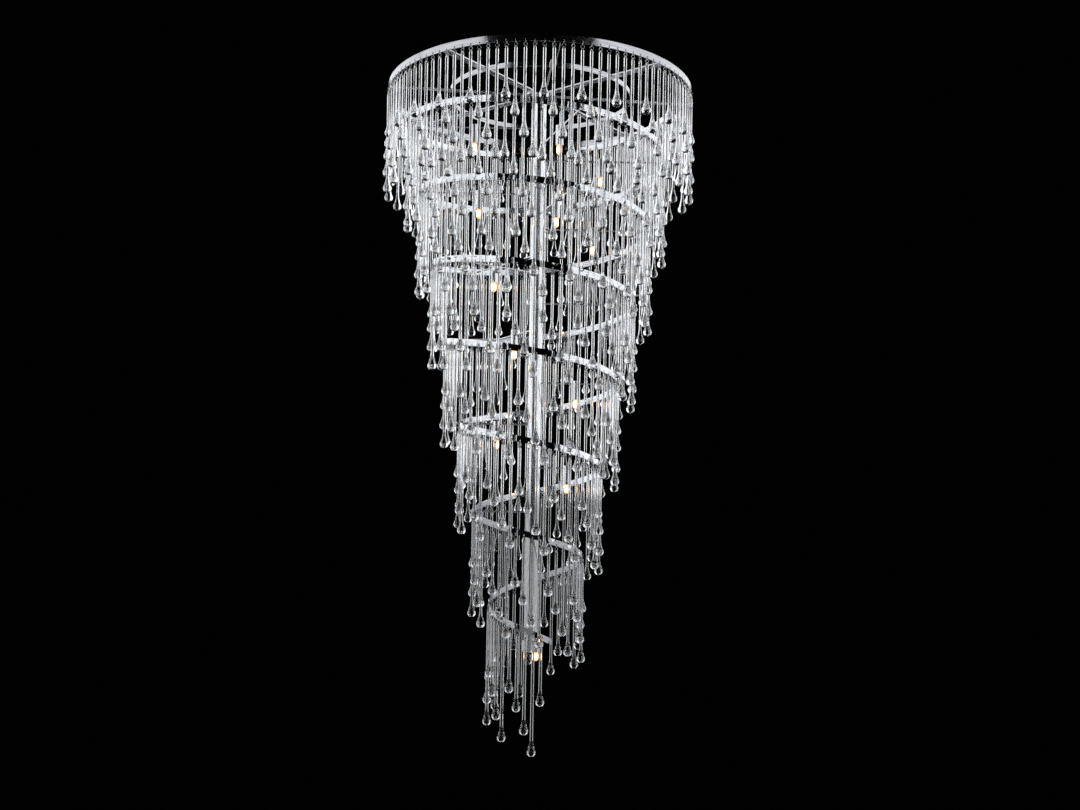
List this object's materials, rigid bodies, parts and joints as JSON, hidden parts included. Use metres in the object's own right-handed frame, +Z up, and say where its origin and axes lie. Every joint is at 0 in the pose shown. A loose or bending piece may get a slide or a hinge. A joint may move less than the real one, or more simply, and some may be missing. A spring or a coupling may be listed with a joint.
{
  "type": "crystal chandelier",
  "caption": "Round ceiling chandelier: a chrome ring on flat cross bars, and a band that winds down around a central column, all hung with glass drops and lit by capsule lamps.",
  "frame": {"origin": "centre of the four ceiling screw holes, on the face that meets the ceiling", "axes": "+Z up into the ceiling, +X to the right and +Y away as the picture's viewer stands"},
  "size_m": [0.822, 0.822, 1.7413],
  "materials": {
    "chrome_plate": "polished chrome plate on steel",
    "plated_screws": "plated steel",
    "clear_glass": "clear polished glass",
    "bulb_glass": "frosted glass capsule, lit",
    "socket_ceramic": "matt white ceramic",
    "cable_plastic": "semi-matt cable sheath",
    "connector_plastic": "glossy moulded plastic"
  },
  "bodies": {
    "frame": {"band_joint_plates": "chrome_plate", "band_joint_screws": "plated_screws", "bar_end_nuts": "plated_screws", "cable_gland": "cable_plastic", "central_column": "chrome_plate", "column_plug": "chrome_plate", "cup_nut": "chrome_plate", "end_cup": "chrome_plate", "hub": "chrome_plate", "hub_grub_screws": "plated_screws", "hub_screws": "plated_screws", "inner_ring": "chrome_plate", "lamp_grub_screws": "plated_screws", "lamp_sockets": "socket_ceramic", "lamp_tubes": "chrome_plate", "lead_connector": "connector_plastic", "lead_tails": "cable_plastic", "long_cross_bar": "chrome_plate", "outer_ring": "chrome_plate", "outer_wire_rings": "chrome_plate", "side_cross_bars": "chrome_plate", "spiral_band_turn_1": "chrome_plate", "spiral_band_turn_2": "chrome_plate", "spiral_band_turn_3": "chrome_plate", "spiral_band_turn_4": "chrome_plate", "spiral_band_turn_5": "chrome_plate", "spiral_band_turn_6": "chrome_plate", "spiral_band_turn_7": "chrome_plate", "spiral_drops_turn_1": "clear_glass", "spiral_drops_turn_2": "clear_glass", "spiral_drops_turn_3": "clear_glass", "spiral_drops_turn_4": "clear_glass", "spiral_drops_turn_5": "clear_glass", "spiral_drops_turn_6": "clear_glass", "spiral_drops_turn_7": "clear_glass", "spiral_wire_rings": "chrome_plate", "square_cross_bars": "chrome_plate", "start_bracket": "chrome_plate", "start_bracket_screws": "plated_screws", "stay_cap_nuts": "chrome_plate", "stay_rods": "chrome_plate", "supply_lead": "cable_plastic"},
    "bulbs": {"lamp_bulbs": "bulb_glass"},
    "drops_01": {"outer_drops_01": "clear_glass"},
    "drops_02": {"outer_drops_02": "clear_glass"},
    "drops_03": {"outer_drops_03": "clear_glass"},
    "drops_04": {"outer_drops_04": "clear_glass"},
    "drops_05": {"outer_drops_05": "clear_glass"},
    "drops_06": {"outer_drops_06": "clear_glass"},
    "drops_07": {"outer_drops_07": "clear_glass"},
    "drops_08": {"outer_drops_08": "clear_glass"},
    "drops_09": {"outer_drops_09": "clear_glass"},
    "drops_10": {"outer_drops_10": "clear_glass"},
    "drops_11": {"outer_drops_11": "clear_glass"},
    "drops_12": {"outer_drops_12": "clear_glass"},
    "drops_13": {"outer_drops_13": "clear_glass"},
    "drops_14": {"outer_drops_14": "clear_glass"}
  },
  "joints": [
    {"name": "bulb_pull", "type": "slide", "parent": "frame", "child": "bulbs", "axis": [0, 0, -1], "range_m": [0, 0.03]},
    {"name": "drops_01_swing", "type": "hinge", "parent": "frame", "child": "drops_01", "pos_m": [0.38526, 0.08793, -0.02478], "axis": [-0.2225, 0.9749, 0], "range_deg": [-2.5, 2.5]},
    {"name": "drops_02_swing", "type": "hinge", "parent": "frame", "child": "drops_02", "pos_m": [0.30895, 0.24638, -0.02478], "axis": [-0.6235, 0.7818, 0], "range_deg": [-2.5, 2.5]},
    {"name": "drops_03_swing", "type": "hinge", "parent": "frame", "child": "drops_03", "pos_m": [0.17146, 0.35603, -0.02478], "axis": [-0.901, 0.4339, 0], "range_deg": [-2.5, 2.5]},
    {"name": "drops_04_swing", "type": "hinge", "parent": "frame", "child": "drops_04", "pos_m": [0, 0.39517, -0.02478], "axis": [-1, 0, 0], "range_deg": [-2.5, 2.5]},
    {"name": "drops_05_swing", "type": "hinge", "parent": "frame", "child": "drops_05", "pos_m": [-0.17146, 0.35603, -0.02478], "axis": [-0.901, -0.4339, 0], "range_deg": [-2.5, 2.5]},
    {"name": "drops_06_swing", "type": "hinge", "parent": "frame", "child": "drops_06", "pos_m": [-0.30895, 0.24638, -0.02478], "axis": [-0.6235, -0.7818, 0], "range_deg": [-2.5, 2.5]},
    {"name": "drops_07_swing", "type": "hinge", "parent": "frame", "child": "drops_07", "pos_m": [-0.38526, 0.08793, -0.02478], "axis": [-0.2225, -0.9749, 0], "range_deg": [-2.5, 2.5]},
    {"name": "drops_08_swing", "type": "hinge", "parent": "frame", "child": "drops_08", "pos_m": [-0.38526, -0.08793, -0.02478], "axis": [0.2225, -0.9749, 0], "range_deg": [-2.5, 2.5]},
    {"name": "drops_09_swing", "type": "hinge", "parent": "frame", "child": "drops_09", "pos_m": [-0.30895, -0.24638, -0.02478], "axis": [0.6235, -0.7818, 0], "range_deg": [-2.5, 2.5]},
    {"name": "drops_10_swing", "type": "hinge", "parent": "frame", "child": "drops_10", "pos_m": [-0.17146, -0.35603, -0.02478], "axis": [0.901, -0.4339, 0], "range_deg": [-2.5, 2.5]},
    {"name": "drops_11_swing", "type": "hinge", "parent": "frame", "child": "drops_11", "pos_m": [0, -0.39517, -0.02478], "axis": [1, 0, 0], "range_deg": [-2.5, 2.5]},
    {"name": "drops_12_swing", "type": "hinge", "parent": "frame", "child": "drops_12", "pos_m": [0.17146, -0.35603, -0.02478], "axis": [0.901, 0.4339, 0], "range_deg": [-2.5, 2.5]},
    {"name": "drops_13_swing", "type": "hinge", "parent": "frame", "child": "drops_13", "pos_m": [0.30895, -0.24638, -0.02478], "axis": [0.6235, 0.7818, 0], "range_deg": [-2.5, 2.5]},
    {"name": "drops_14_swing", "type": "hinge", "parent": "frame", "child": "drops_14", "pos_m": [0.38526, -0.08793, -0.02478], "axis": [0.2225, 0.9749, 0], "range_deg": [-2.5, 2.5]}
  ]
}
